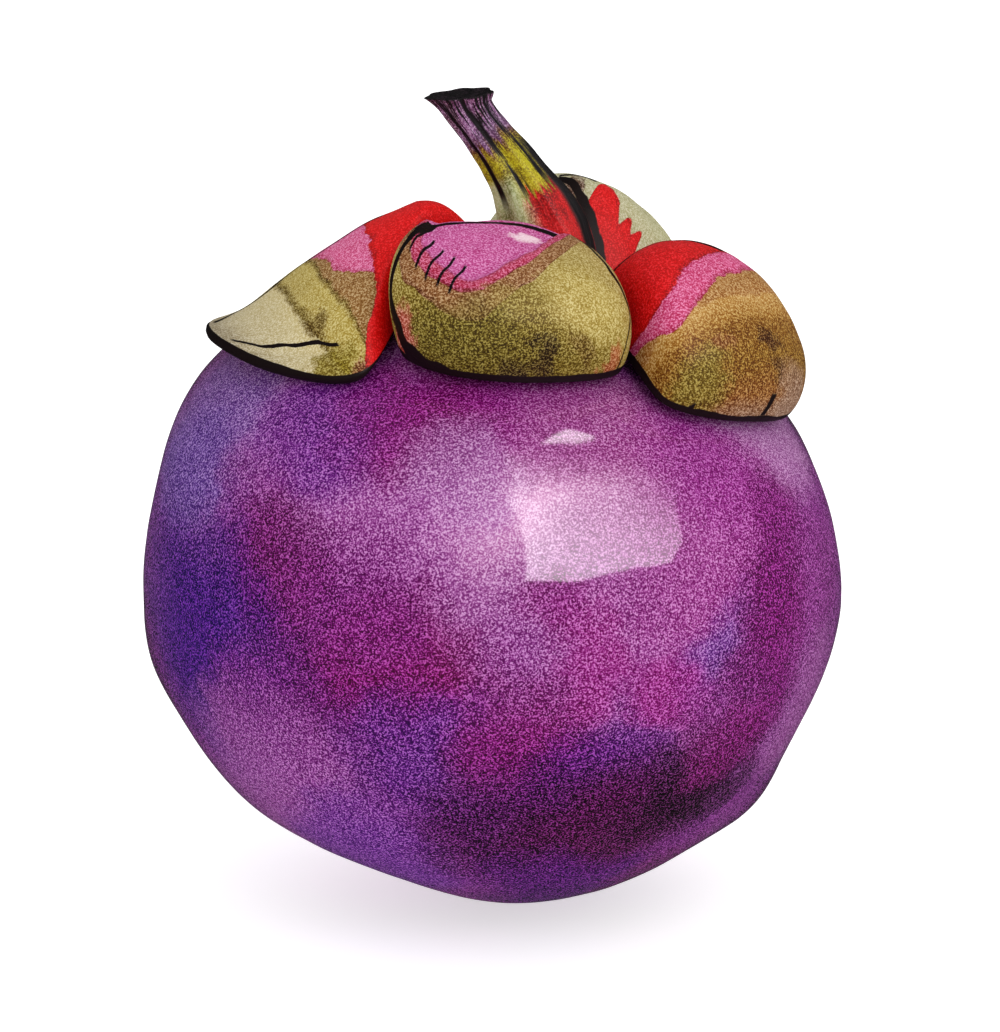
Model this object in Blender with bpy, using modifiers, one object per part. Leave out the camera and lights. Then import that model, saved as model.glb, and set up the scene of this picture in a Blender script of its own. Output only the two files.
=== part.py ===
# Mangosteen: a ripe fruit with its four fleshy sepals, its stalk, and the dry
# stigma rosette that it stands on.
#
# Metres, +Z up. The origin is the middle of the rosette's flat underside. The fruit
# is round below and flattened above, about a stem axis that leans towards +X.
# Directions from the fruit's centre place everything, so the sepals follow the rind.

import math

import bmesh
import bpy
from mathutils import Vector

MM = 0.001
GAP = 0.3 * MM  # air between neighbouring pieces

# Rosette: the stigma's flat lobes on the fruit's underside
ROSETTE_THICKNESS = 0.8 * MM
ROSETTE_RADIUS = 3.8 * MM
ROSETTE_NOTCH_RADIUS = 1.8 * MM
ROSETTE_LOBES = 6
ROSETTE_EDGE = 0.2 * MM
ROSETTE_LOBE_FULLNESS = 0.5  # 1 gives pointed notches' flanks, less gives rounder lobes
POINTS_PER_LOBE = 12

# Rind
RIND_SEGMENTS = 48
RIND_RINGS = 32
FRUIT_RADIUS = 30.0 * MM
SEAT_DEPTH = 28.9 * MM  # from the fruit's centre down to the flat around the rosette
SEAT_BLEND = 2.0 * MM
CAP_HEIGHT = 22.5 * MM  # from the fruit's centre to the stem end
CAP_FULLNESS = 2.3  # 2 is an ellipse, more gives squarer shoulders
STEM_AXIS_LEAN = math.radians(11.3)

CENTRE = Vector((0, 0, ROSETTE_THICKNESS + GAP + SEAT_DEPTH))
STEM_AXIS = Vector((math.sin(STEM_AXIS_LEAN), 0, math.cos(STEM_AXIS_LEAN)))

# Shallow dents: direction from the centre, depth, and angular half width in degrees
DENTS = (
    (Vector((1.0, -0.05, 0.03)), 0.9 * MM, 5.0),
    (Vector((-0.75, -0.62, -0.2)), 0.4 * MM, 14.0),
    (Vector((0.35, 0.9, 0.15)), 0.6 * MM, 16.0),
    (Vector((-0.3, 0.55, -0.75)), 0.5 * MM, 12.0),
    (Vector((-0.42, -0.24, -0.87)), 0.9 * MM, 15.0),
    (Vector((-0.29, -0.25, -0.92)), 0.9 * MM, 17.0),
    (Vector((0.99, 0.04, 0.15)), 0.9 * MM, 13.0),
    (Vector((-0.97, 0.06, 0.22)), 0.85 * MM, 11.0),
    (Vector((0.88, -0.12, -0.45)), 0.35 * MM, 10.0),
    (Vector((-0.96, -0.08, -0.28)), -0.7 * MM, 9.0),  # swellings
    (Vector((0.72, -0.18, -0.67)), -0.7 * MM, 8.0),
)

# Sepals, in degrees about the stem axis. azimuth 0 points to +X. start and reach are
# the base's and the tip's angles from the axis, and half_width is the widest half.
# broad widens the tip end, bow bends the midline sideways, skew slides one side of
# the tip further out than the other, and square above 2 fills the outline's corners.
# crest is where the arch is highest, from -1 at the base to 1 at the tip. puff is its
# height, with round and full shaping its fall to the margin, and tilt lifts one side.
# slim lowers the arch towards the tip, and flare lifts the tip. rest is the margin's
# outer face above the rind. before and after name its seams with its neighbours.
SEPAL_THICKNESS = 2.0 * MM
SEPAL_MARGIN_SHARE = 0.5  # the margin's thickness as a share of the middle's
# A seam's azimuth at the axis, and how far it turns for each degree away from there
SEAMS = dict(
    left_front=(-169, 0.9), front_right=(-62.5, 0), right_back=(24, 0), back_left=(134, 0)
)
SEAM_HALF_GAP = 0.9
SEAM_SHARPNESS = 8  # how abruptly a margin that would cross a seam follows it instead
SEPALS = {
    "sepal_front": dict(
        azimuth=-105, start=11, reach=46, half_width=24, broad=-0.08, bow=0, skew=-0.26,
        square=2.0, crest=-0.35, puff=8.8 * MM, tilt=-0.22, round=3.4, full=0.55, slim=0,
        flare=0, rest=0.75 * MM, before="left_front", after="front_right",
    ),
    "sepal_right": dict(
        azimuth=-30.5, start=11, reach=49.5, half_width=21, broad=0.26, bow=-1.5, skew=0.19,
        square=2.3, crest=-0.28, puff=9.0 * MM, tilt=0.09, round=2.8, full=0.67, slim=0.25,
        flare=0, rest=0.75 * MM, before="front_right", after="right_back",
    ),
    "sepal_left": dict(
        azimuth=-168, start=11.5, reach=60.5, half_width=24, broad=0.45, bow=7, skew=-0.08,
        square=2.0, crest=-0.5, puff=8.0 * MM, tilt=0, round=2.0, full=1.0, slim=0.85,
        flare=2.4 * MM, rest=1.2 * MM, before="back_left", after="left_front",
    ),
    "sepal_back": dict(
        azimuth=78, start=11, reach=50, half_width=20, broad=0.2, bow=0, skew=0,
        square=2.4, crest=-0.45, puff=8.9 * MM, tilt=-0.1, round=2.4, full=0.8, slim=0,
        flare=0.4 * MM, rest=1.2 * MM, before="right_back", after="back_left",
    ),
}
SEPAL_SEGMENTS = 32
SEPAL_RINGS = 8
FLARE_FROM = 0.5  # along the sepal, where the tip starts to lift

# Stalk: its line from foot to cut end, as (x, z) from the fruit's centre, with radii
STALK_LINE = (
    ((4.50 * MM, 22.45 * MM), 3.8 * MM),
    ((4.75 * MM, 23.70 * MM), 3.9 * MM),
    ((4.5 * MM, 26.0 * MM), 3.8 * MM),
    ((4.0 * MM, 28.0 * MM), 3.7 * MM),
    ((3.2 * MM, 30.2 * MM), 3.2 * MM),
    ((2.0 * MM, 32.5 * MM), 2.5 * MM),
    ((0.9 * MM, 34.2 * MM), 2.2 * MM),
    ((-0.2 * MM, 35.7 * MM), 2.0 * MM),
    ((-1.3 * MM, 37.2 * MM), 1.9 * MM),
    ((-2.2 * MM, 38.5 * MM), 2.05 * MM),
    ((-2.7 * MM, 39.4 * MM), 2.5 * MM),
)
STALK_RIDGES = 7
STALK_RIDGE_DEPTH = 0.07  # share of the radius
POINTS_PER_RIDGE = 4


def clear_scene():
    for leftover in list(bpy.data.objects):
        bpy.data.objects.remove(leftover, do_unlink=True)


def finish_of(name, colour, roughness):
    material = bpy.data.materials.new(name)
    material.use_nodes = True
    shader = material.node_tree.nodes["Principled BSDF"]
    shader.inputs["Base Color"].default_value = (*colour, 1)
    shader.inputs["Roughness"].default_value = roughness
    shader.inputs["Metallic"].default_value = 0
    return material


def add_piece(collection, name, data, material):
    piece = bpy.data.objects.new(name, data)
    data.materials.append(material)
    collection.objects.link(piece)
    return piece


def mesh_from(shape, name):
    data = bpy.data.meshes.new(name)
    shape.to_mesh(data)
    shape.free()
    data.shade_smooth()
    return data


def soft_min(a, b, blend):
    """The smaller of two lengths, rounded where they are within blend of each other."""
    near = max(blend - abs(a - b), 0) / blend
    return min(a, b) - near * near * blend / 4


def rind_radius(direction):
    """Distance from the fruit's centre to the rind along a unit direction."""
    along = direction.dot(STEM_AXIS)
    across = math.sqrt(max(0, 1 - along * along))
    height, power = (CAP_HEIGHT, CAP_FULLNESS) if along > 0 else (FRUIT_RADIUS, 2)
    reach = (across / FRUIT_RADIUS) ** power + (abs(along) / height) ** power
    radius = reach ** (-1 / power)
    if direction.z < 0:
        radius = soft_min(radius, SEAT_DEPTH / -direction.z, SEAT_BLEND)
    for towards, depth, half_width in DENTS:
        apart = math.degrees(direction.angle(towards))
        radius -= depth * math.exp(-((apart / half_width) ** 2))
    return radius


def make_rind(collection):
    shape = bmesh.new()
    bmesh.ops.create_uvsphere(
        shape, u_segments=RIND_SEGMENTS, v_segments=RIND_RINGS, radius=1
    )
    for vertex in shape.verts:
        direction = vertex.co.normalized()
        vertex.co = CENTRE + direction * rind_radius(direction)
    skin = finish_of("ripe_rind", (0.19, 0.03, 0.19), 0.35)
    return add_piece(collection, "rind", mesh_from(shape, "rind"), skin)


def polar_disc(rings, segments):
    """A flat unit disc facing up, spun from a row of points along +X."""
    disc = bmesh.new()
    row = [disc.verts.new((ring / rings, 0, 0)) for ring in range(rings + 1)]
    edges = [disc.edges.new(pair) for pair in zip(row, row[1:])]
    bmesh.ops.spin(
        disc, geom=row + edges, axis=(0, 0, 1), cent=(0, 0, 0),
        angle=math.tau, steps=segments, use_merge=True,
    )
    bmesh.ops.remove_doubles(disc, verts=disc.verts[:], dist=0.0001)
    bmesh.ops.recalc_face_normals(disc, faces=disc.faces[:])
    if disc.faces[:][0].normal.z < 0:
        bmesh.ops.reverse_faces(disc, faces=disc.faces[:])
    return disc


def inside_seams(spec, offset, fall):
    """An azimuth offset from the sepal's midline, eased so that it stays inside its seams."""
    azimuth, slope = SEAMS[spec["after" if offset > 0 else "before"]]
    room = (azimuth + slope * math.degrees(fall) - spec["azimuth"] + 180) % 360 - 180
    room = math.radians(abs(room) - SEAM_HALF_GAP)
    crowding = (abs(offset) / room) ** SEAM_SHARPNESS
    return offset / (1 + crowding) ** (1 / SEAM_SHARPNESS)


def sepal_direction(spec, along, across):
    """Unit direction of a sepal's point: along is -1 at the base and 1 at the tip."""
    towards_x = Vector((STEM_AXIS.z, 0, -STEM_AXIS.x))
    towards_y = Vector((0, 1, 0))
    azimuth = math.radians(spec["azimuth"])
    outward = towards_x * math.cos(azimuth) + towards_y * math.sin(azimuth)
    sideways = STEM_AXIS.cross(outward)
    middle = (spec["start"] + spec["reach"]) / 2
    half_length = (spec["reach"] - spec["start"]) / 2
    on_midline = math.radians(middle + half_length * along)
    half_width = spec["half_width"] * (1 + spec["broad"] * along)
    turn = math.radians(half_width * across + spec["bow"] * (1 - along * along))
    fall = math.acos(math.cos(on_midline) * math.cos(turn))
    offset = math.atan2(math.sin(turn), math.sin(on_midline) * math.cos(turn))
    offset = inside_seams(spec, offset, fall)
    across_axis = outward * math.cos(offset) + sideways * math.sin(offset)
    return (STEM_AXIS * math.cos(fall) + across_axis * math.sin(fall)).normalized()


def sepal_point(spec, flat):
    """Where a point of the flat unit disc lies on the sepal's outer face."""
    ring = flat.length
    if ring > 0:
        power = spec["square"]
        flat = flat * ring / (abs(flat.x) ** power + abs(flat.y) ** power) ** (1 / power)
    along = min(1, spec["crest"] * (1 - ring) + flat.x)
    across = flat.y
    arch = max(0, 1 - ring ** spec["round"]) ** spec["full"]
    beyond_crest = max(0, (along - spec["crest"]) / (1 - spec["crest"]))
    lift = spec["puff"] * arch * (1 - spec["slim"] * beyond_crest) * (1 + spec["tilt"] * across)
    tip = max(0, (along - FLARE_FROM) / (1 - FLARE_FROM))
    lift += spec["rest"] + spec["flare"] * tip ** 3 * (1 - across * across)
    skewed = along + spec["skew"] * across * (1 + along) / 2
    direction = sepal_direction(spec, skewed, across)
    return CENTRE + direction * (rind_radius(direction) + lift)


def make_sepal(collection, name, spec, material):
    shape = polar_disc(SEPAL_RINGS, SEPAL_SEGMENTS)
    shares = []
    for vertex in shape.verts:
        flat = vertex.co.copy()
        shares.append(1 - (1 - SEPAL_MARGIN_SHARE) * flat.length ** 3)
        vertex.co = sepal_point(spec, flat)
    piece = add_piece(collection, name, mesh_from(shape, name), material)
    group = piece.vertex_groups.new(name="thickness")
    for index, share in enumerate(shares):
        group.add([index], share, "REPLACE")
    shell = piece.modifiers.new("flesh", "SOLIDIFY")
    shell.thickness = SEPAL_THICKNESS
    shell.offset = -1
    shell.vertex_group = group.name
    return piece


def ridged_outline(name, ridges, depth):
    """A closed flat curve of unit radius with shallow ridges, as a stalk's section."""
    outline = bpy.data.curves.new(name, "CURVE")
    outline.dimensions = "2D"
    spline = outline.splines.new("POLY")
    count = ridges * POINTS_PER_RIDGE
    spline.points.add(count - 1)
    for index, point in enumerate(spline.points):
        angle = -math.tau * index / count
        radius = 1 + depth * math.cos(ridges * angle)
        point.co = (radius * math.cos(angle), radius * math.sin(angle), 0, 1)
    spline.use_cyclic_u = True
    return outline


def make_stalk(collection, guides, material):
    section = bpy.data.objects.new(
        "stalk_section", ridged_outline("stalk_section", STALK_RIDGES, STALK_RIDGE_DEPTH)
    )
    section.hide_render = True
    section.display_type = "WIRE"
    guides.objects.link(section)
    line = bpy.data.curves.new("stalk", "CURVE")
    line.dimensions = "3D"
    line.bevel_mode = "OBJECT"
    line.bevel_object = section
    line.use_fill_caps = True
    spline = line.splines.new("POLY")
    spline.points.add(len(STALK_LINE) - 1)
    for point, ((x, z), radius) in zip(spline.points, STALK_LINE):
        point.co = (CENTRE.x + x, CENTRE.y, CENTRE.z + z, 1)
        point.radius = radius
    return add_piece(collection, "stalk", line, material)


def make_rosette(collection, material):
    outline = bpy.data.curves.new("stigma_rosette", "CURVE")
    outline.dimensions = "2D"
    outline.fill_mode = "BOTH"
    outline.extrude = ROSETTE_THICKNESS / 2 - ROSETTE_EDGE
    outline.bevel_depth = ROSETTE_EDGE
    outline.bevel_resolution = 1
    outline.offset = -ROSETTE_EDGE
    spline = outline.splines.new("POLY")
    count = ROSETTE_LOBES * POINTS_PER_LOBE
    spline.points.add(count - 1)
    for index, point in enumerate(spline.points):
        angle = math.tau * index / count
        lobe = abs(math.sin(ROSETTE_LOBES * angle / 2)) ** ROSETTE_LOBE_FULLNESS
        radius = ROSETTE_NOTCH_RADIUS + (ROSETTE_RADIUS - ROSETTE_NOTCH_RADIUS) * lobe
        point.co = (radius * math.cos(angle), radius * math.sin(angle), 0, 1)
    spline.use_cyclic_u = True
    piece = add_piece(collection, "stigma_rosette", outline, material)
    piece.location = (0, 0, ROSETTE_THICKNESS / 2)
    return piece


def main():
    clear_scene()
    fruit = bpy.data.collections.new("mangosteen")
    guides = bpy.data.collections.new("guides")
    bpy.context.scene.collection.children.link(fruit)
    bpy.context.scene.collection.children.link(guides)
    make_rind(fruit)
    flesh = finish_of("sepal_flesh", (0.40, 0.33, 0.11), 0.55)
    for name, spec in SEPALS.items():
        make_sepal(fruit, name, spec, flesh)
    make_stalk(fruit, guides, finish_of("stalk_skin", (0.28, 0.26, 0.03), 0.6))
    make_rosette(fruit, finish_of("dry_stigma", (0.10, 0.05, 0.03), 0.8))


main()
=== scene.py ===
import math
import random

import bmesh
import bpy
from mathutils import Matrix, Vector, noise


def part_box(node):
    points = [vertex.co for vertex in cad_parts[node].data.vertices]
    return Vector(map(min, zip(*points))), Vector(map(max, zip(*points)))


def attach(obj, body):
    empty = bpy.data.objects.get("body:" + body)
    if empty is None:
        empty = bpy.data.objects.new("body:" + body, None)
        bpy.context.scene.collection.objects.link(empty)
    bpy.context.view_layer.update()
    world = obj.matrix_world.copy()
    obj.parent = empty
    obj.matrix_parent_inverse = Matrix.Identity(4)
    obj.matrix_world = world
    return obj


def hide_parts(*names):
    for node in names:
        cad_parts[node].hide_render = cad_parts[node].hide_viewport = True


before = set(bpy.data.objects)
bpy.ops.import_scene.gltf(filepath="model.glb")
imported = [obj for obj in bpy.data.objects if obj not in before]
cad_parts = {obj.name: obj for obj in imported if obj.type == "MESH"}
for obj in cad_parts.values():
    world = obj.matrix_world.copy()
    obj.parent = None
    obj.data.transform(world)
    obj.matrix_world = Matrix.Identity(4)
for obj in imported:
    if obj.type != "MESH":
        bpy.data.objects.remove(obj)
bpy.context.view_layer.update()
mm = 0.001


def tint(red, green, blue):  # a colour as a paint chart gives it, 0 to 255
    linear = []
    for value in (red, green, blue):
        value = value / 255
        linear.append(value / 12.92 if value <= 0.04045 else ((value + 0.055) / 1.055) ** 2.4)
    return (*linear, 1)


def setStops(ramp, stops):
    while len(ramp.elements) < len(stops):
        ramp.elements.new(1)
    for element, (place, colour) in zip(ramp.elements, stops):
        element.position = place
        element.color = colour


pigment = dict(  # how the paint settles in fine grains
    scale=6200, detail=1, rough=0.8, low=0.34, high=0.66,
    paleEven=1.3, paleLift=0.4,  # a pale wash settles more evenly
)


class Wire:  # one socket of a material, that expressions can be written with
    def __init__(self, tree, socket=None):
        self.tree = tree
        self.socket = socket

    def add(self, kind, settings=None, sockets=None, out=0):
        node = self.tree.nodes.new(kind)
        for name, value in (settings or {}).items():
            if name == "stops":
                setStops(node.color_ramp, value)
            else:
                setattr(node, name, value)
        for name, value in (sockets or {}).items():
            if isinstance(value, Wire):
                self.tree.links.new(value.socket, node.inputs[name])
            else:
                node.inputs[name].default_value = value
        return Wire(self.tree, node.outputs[out])

    def maths(self, operation, *values):
        return self.add("ShaderNodeMath", {"operation": operation}, dict(enumerate(values)))

    def __add__(self, other):
        return self.maths("ADD", self, other)

    def __sub__(self, other):
        return self.maths("SUBTRACT", self, other)

    def __rsub__(self, other):
        return self.maths("SUBTRACT", other, self)

    def __mul__(self, other):
        return self.maths("MULTIPLY", self, other)

    def __truediv__(self, other):
        return self.maths("DIVIDE", self, other)

    __radd__ = __add__
    __rmul__ = __mul__

    def most(self, other):
        return self.maths("MAXIMUM", self, other)

    def vector(self, operation, *values, out=0):
        return self.add("ShaderNodeVectorMath", {"operation": operation},
                        dict(enumerate(values)), out)

    def fade(self, start, end):  # 0 before start, 1 after end, smooth between them
        return self.add("ShaderNodeMapRange", {"interpolation_type": "SMOOTHSTEP"},
                        {"Value": self, "From Min": start, "From Max": end})

    def grain(self, scale, detail=2, rough=0.5, out=0):  # noise at this vector
        return self.add("ShaderNodeTexNoise", None,
                        {"Vector": self, "Scale": scale, "Detail": detail, "Roughness": rough}, out)

    def towards(self, colour, share):  # this colour turned into another one by a share
        return self.add("ShaderNodeMix", {"data_type": "RGBA", "clamp_factor": True},
                        {0: share, 6: self, 7: colour}, 2)

    def stained(self, colour, share):  # this colour under a wash of another one
        return self.add("ShaderNodeMix", {"data_type": "RGBA", "blend_type": "MULTIPLY",
                                          "clamp_factor": True}, {0: share, 6: self, 7: colour}, 2)

    def grained(self, at, low, high):  # this colour settled in grains, from pale to deep
        paleness = self.add("ShaderNodeSeparateColor", None, {"Color": self}, "Green")
        grains = at.grain(pigment["scale"], pigment["detail"], pigment["rough"])
        grains = grains.fade(pigment["low"], pigment["high"])
        spread = high - low - paleness * pigment["paleEven"]
        power = grains * spread + low + paleness * pigment["paleLift"]
        return self.add("ShaderNodeGamma", None, {"Color": self, "Gamma": power})

    def banded(self, stops):  # a colour ramp over this value
        return self.add("ShaderNodeValToRGB", {"stops": stops}, {0: self})

    def curve(self, knots):  # a smooth height over this value, both from -1 to 1
        stops = [((at + 1) / 2, ((high + 1) / 2,) * 3 + (1,)) for at, high in knots]
        ramp = (self * 0.5 + 0.5).banded(stops)
        ramp.socket.node.color_ramp.interpolation = "CARDINAL"  # smooth through the knots
        return ramp * 2.0 - 1.0


def startMaterial(name, **fixed):  # fixed values go straight on the shader
    material = bpy.data.materials.new(name)
    material.use_nodes = True
    tree = material.node_tree
    shader = tree.nodes["Principled BSDF"]
    for socket, value in fixed.items():
        shader.inputs[socket.replace("_", " ")].default_value = value
    start = Wire(tree)
    return material, shader, start


def finishMaterial(shader, colour, roughness, height, depth):
    tree = colour.tree
    tree.links.new(colour.socket, shader.inputs["Base Color"])
    tree.links.new(roughness.socket, shader.inputs["Roughness"])
    bump = height.add("ShaderNodeBump", None, {"Height": height, "Distance": depth, "Strength": 1})
    tree.links.new(bump.socket, shader.inputs["Normal"])


def placePiece(mesh, name, material, node, smoothing=0):
    for face in mesh.faces:
        face.smooth = True
    data = bpy.data.meshes.new(name)
    mesh.to_mesh(data)
    mesh.free()
    piece = bpy.data.objects.new(name, data)
    bpy.context.scene.collection.objects.link(piece)
    data.materials.append(material)
    if smoothing:
        finer = piece.modifiers.new("smoother", "SUBSURF")
        finer.levels = smoothing
        finer.render_levels = smoothing
    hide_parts(node)
    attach(piece, "root")
    print("mangosteen:", name, "made,", len(data.polygons), "faces")
    return piece


def unitDisc(rings, segments):  # a flat disc of radius 1, facing up
    mesh = bmesh.new()
    ends = [mesh.verts.new((0, 0, 0)), mesh.verts.new((1, 0, 0))]
    spoke = mesh.edges.new(ends)
    bmesh.ops.subdivide_edges(mesh, edges=[spoke], cuts=rings - 1)
    bmesh.ops.spin(mesh, geom=list(mesh.verts) + list(mesh.edges), cent=(0, 0, 0),
                   axis=(0, 0, 1), angle=math.tau, steps=segments, use_merge=True)
    bmesh.ops.remove_doubles(mesh, verts=mesh.verts, dist=0.0001)
    bmesh.ops.recalc_face_normals(mesh, faces=mesh.faces)
    mesh.faces.ensure_lookup_table()
    if mesh.faces[0].normal.z < 0:
        bmesh.ops.reverse_faces(mesh, faces=mesh.faces)
    return mesh


fruit = dict(
    radius=30 * mm,
    seatDepth=28.9 * mm,  # from its middle down to the flat it stands on
    seatBlend=2 * mm,
    capHeight=22.5 * mm,  # flatter above the middle, under the sepals
    capFullness=2.3,
    lean=math.radians(11.3),  # how far its stem end leans to the right
    wave=0.25 * mm,
    fineness=7,
)
dents = (  # direction, depth, half width in degrees
    (Vector((1.0, -0.05, 0.03)), 0.9 * mm, 5.0),
    (Vector((-0.75, -0.62, -0.2)), 0.4 * mm, 14.0),
    (Vector((0.35, 0.9, 0.15)), 0.6 * mm, 16.0),
    (Vector((-0.3, 0.55, -0.75)), 0.5 * mm, 12.0),
    (Vector((-0.42, -0.24, -0.87)), 0.9 * mm, 15.0),
    (Vector((-0.29, -0.25, -0.92)), 0.9 * mm, 17.0),
    (Vector((0.99, 0.04, 0.15)), 0.9 * mm, 13.0),
    (Vector((-0.97, 0.06, 0.22)), 0.85 * mm, 11.0),
    (Vector((0.88, -0.12, -0.45)), 0.35 * mm, 10.0),
    (Vector((-0.96, -0.08, -0.28)), -0.7 * mm, 9.0),  # swellings
    (Vector((0.72, -0.18, -0.67)), -0.7 * mm, 8.0),
)
centre = Vector((0, 0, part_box("stigma_rosette")[1].z + 0.3 * mm + fruit["seatDepth"]))
stemAxis = Vector((math.sin(fruit["lean"]), 0, math.cos(fruit["lean"])))

# the direction the fruit is looked at from, which its colours and the camera are laid out by
lookElevation = math.radians(15)
lookBack = Vector((0, -math.cos(lookElevation), math.sin(lookElevation)))
lookUp = Vector((0, math.sin(lookElevation), math.cos(lookElevation)))


def softMin(a, b, blend):
    near = max(blend - abs(a - b), 0) / blend
    return min(a, b) - near * near * blend / 4


def rindRadius(direction):
    along = direction.dot(stemAxis)
    across = math.sqrt(max(0, 1 - along * along))
    height, power = fruit["radius"], 2
    if along > 0:
        height, power = fruit["capHeight"], fruit["capFullness"]
    reach = (across / fruit["radius"]) ** power + (abs(along) / height) ** power
    radius = reach ** (-1 / power)
    if direction.z < 0:
        radius = softMin(radius, fruit["seatDepth"] / -direction.z, fruit["seatBlend"])
    for towards, depth, halfWidth in dents:
        apart = math.degrees(direction.angle(towards))
        radius -= depth * math.exp(-((apart / halfWidth) ** 2))
    return radius


def makeRind():
    mesh = bmesh.new()
    bmesh.ops.create_icosphere(mesh, subdivisions=fruit["fineness"], radius=1)
    for vert in mesh.verts:
        direction = vert.co.normalized()
        sway = noise.fractal(direction * 2.3, 1.0, 2.0, 4)
        inward = fruit["wave"] * (0.5 + 0.5 * max(-1, min(1, sway)))
        vert.co = centre + direction * (rindRadius(direction) - inward)
    return placePiece(mesh, "fruitRind", rindMaterial(), "rind")


patches = (  # right and up from the middle, half width in degrees, softness, colour, strength
    (-0.30, 0.22, 40, 0.7, (172, 100, 170), 0.85),
    (0.12, 0.05, 36, 0.8, (170, 102, 166), 0.85),
    # painted highlight: a pale patch laid where the window's reflection falls on the rind
    (0.30, 0.14, 24, 0.6, (226, 180, 212), 0.85),
    (0.22, -0.36, 26, 0.8, (148, 70, 146), 0.85),
    (0.62, 0.10, 22, 0.8, (158, 60, 144), 0.85),
    (0.80, 0.40, 14, 0.7, (184, 128, 180), 0.85),
    (0.88, -0.08, 14, 0.7, (140, 50, 134), 0.75),
    (0.86, -0.42, 12, 0.8, (156, 82, 152), 0.80),
    (-0.88, 0.05, 20, 0.8, (110, 44, 136), 0.85),
    (-0.78, 0.42, 16, 0.8, (130, 92, 162), 0.85),
    (-0.86, 0.24, 10, 0.8, (114, 76, 156), 0.80),
    (-0.66, 0.16, 9, 0.8, (136, 42, 130), 0.50),
    (-0.46, -0.30, 16, 0.8, (98, 5, 102), 0.95),
    (-0.62, -0.02, 11, 0.8, (112, 6, 100), 0.90),
    (-0.82, -0.26, 19, 0.8, (66, 6, 124), 0.97),
    (-0.24, -0.30, 12, 0.8, (130, 7, 102), 0.90),
    (-0.40, -0.12, 12, 0.8, (134, 34, 128), 0.65),
    (-0.44, 0.40, 12, 0.8, (112, 24, 140), 0.75),
    (-0.16, 0.43, 14, 0.8, (138, 10, 118), 0.92),
    (0.12, 0.44, 12, 0.8, (156, 40, 142), 0.75),
    (0.36, 0.42, 12, 0.8, (160, 64, 142), 0.70),
    (0.62, 0.28, 12, 0.8, (160, 54, 148), 0.75),
    (-0.62, -0.48, 13, 0.8, (130, 36, 132), 0.80),
    (-0.58, -0.66, 18, 0.8, (152, 80, 154), 0.85),
    (-0.34, -0.84, 14, 0.8, (114, 44, 148), 0.85),
    (-0.14, -0.58, 14, 0.8, (104, 34, 136), 0.80),
    (0.10, -0.50, 11, 0.8, (126, 8, 106), 0.90),
    (0.28, -0.60, 12, 0.8, (92, 14, 120), 0.85),
    (0.06, -0.76, 16, 0.8, (74, 5, 76), 0.93),
    (0.34, -0.74, 14, 0.8, (76, 4, 62), 0.93),
    (0.56, -0.64, 12, 0.6, (46, 3, 40), 0.97),
    (0.16, -0.93, 12, 0.8, (86, 8, 112), 0.90),
    (0.42, -0.90, 10, 0.8, (112, 14, 98), 0.80),
    (0.64, -0.28, 9, 0.8, (126, 80, 158), 0.75),
    (0.80, 0.10, 8, 0.8, (130, 16, 116), 0.80),
    (0.78, -0.14, 9, 0.8, (120, 7, 106), 0.90),
    (0.72, -0.34, 9, 0.8, (118, 10, 104), 0.80),
    (0.64, -0.48, 9, 0.8, (122, 12, 102), 0.70),
    (0.50, -0.34, 7, 0.8, (158, 28, 130), 0.65),
    (0.28, -0.27, 7, 0.8, (160, 44, 136), 0.70),
    (0.20, -0.13, 5, 0.7, (140, 30, 124), 0.75),
    (-0.08, 0.24, 9, 0.8, (180, 128, 182), 0.60),
)
behindColours = ((92, 34, 128), (168, 96, 166), (112, 7, 98), (68, 8, 124), (158, 60, 144),
                 (96, 5, 100), (146, 66, 146), (176, 114, 172), (108, 38, 146), (74, 5, 74))


rindPaint = dict(
    gloss=0.04, waxShare=0.6, waxRoughness=0.07, waxIor=1.7,
    swayScale=3.0, swayReach=0.34, featherScale=22, featherReach=0.1,  # how the washes wander
    groundLow=(108, 24, 116), groundHigh=(140, 46, 140),
    patchesBehind=20, stemStain=(120, 6, 10), stemStainOuter=0.34, stemStainInner=0.27,
    # the edge colour and share below are painted shade: a darker ring near the rind's outline seen
    # from the front
    rimShadeColour=(120, 40, 100), rimShadeShare=0.5,
    settledScale=160, clumpScale=700, pale=0.56, deep=1.5,
    roughness=0.42, relief=0.00004,
)


def patchDirections():
    for right, up, halfWidth, softness, colour, strength in patches:
        back = math.sqrt(max(0, 1 - right * right - up * up))
        towards = Vector((right, 0, 0)) + lookUp * up + lookBack * back
        yield towards.normalized(), halfWidth, softness, colour, strength
    draw = random.Random(11)
    for turn in range(rindPaint["patchesBehind"]):  # the far side, in the same washes
        azimuth = math.radians(18 + 144 * ((turn * 0.618) % 1))
        height = -0.85 + 1.35 * draw.random()
        level = math.sqrt(1 - height * height)
        towards = Vector((math.cos(azimuth) * level, math.sin(azimuth) * level, height))
        colour = behindColours[turn % len(behindColours)]
        yield towards, draw.uniform(13, 30), 0.8, colour, draw.uniform(0.6, 0.85)


def wander(direction):  # this direction pushed about, so that washes get soft ragged edges
    sway = direction.grain(rindPaint["swayScale"], 3, 0.55, out="Color")
    sway = sway.vector("SUBTRACT", sway, (0.5, 0.5, 0.5))
    feather = direction.grain(rindPaint["featherScale"], 4, 0.6, out="Color")
    feather = feather.vector("SUBTRACT", feather, (0.5, 0.5, 0.5))
    warped = sway.vector("MULTIPLY_ADD", sway, (rindPaint["swayReach"],) * 3, direction)
    warped = feather.vector("MULTIPLY_ADD", feather, (rindPaint["featherReach"],) * 3, warped)
    return warped.vector("NORMALIZE", warped)


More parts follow.
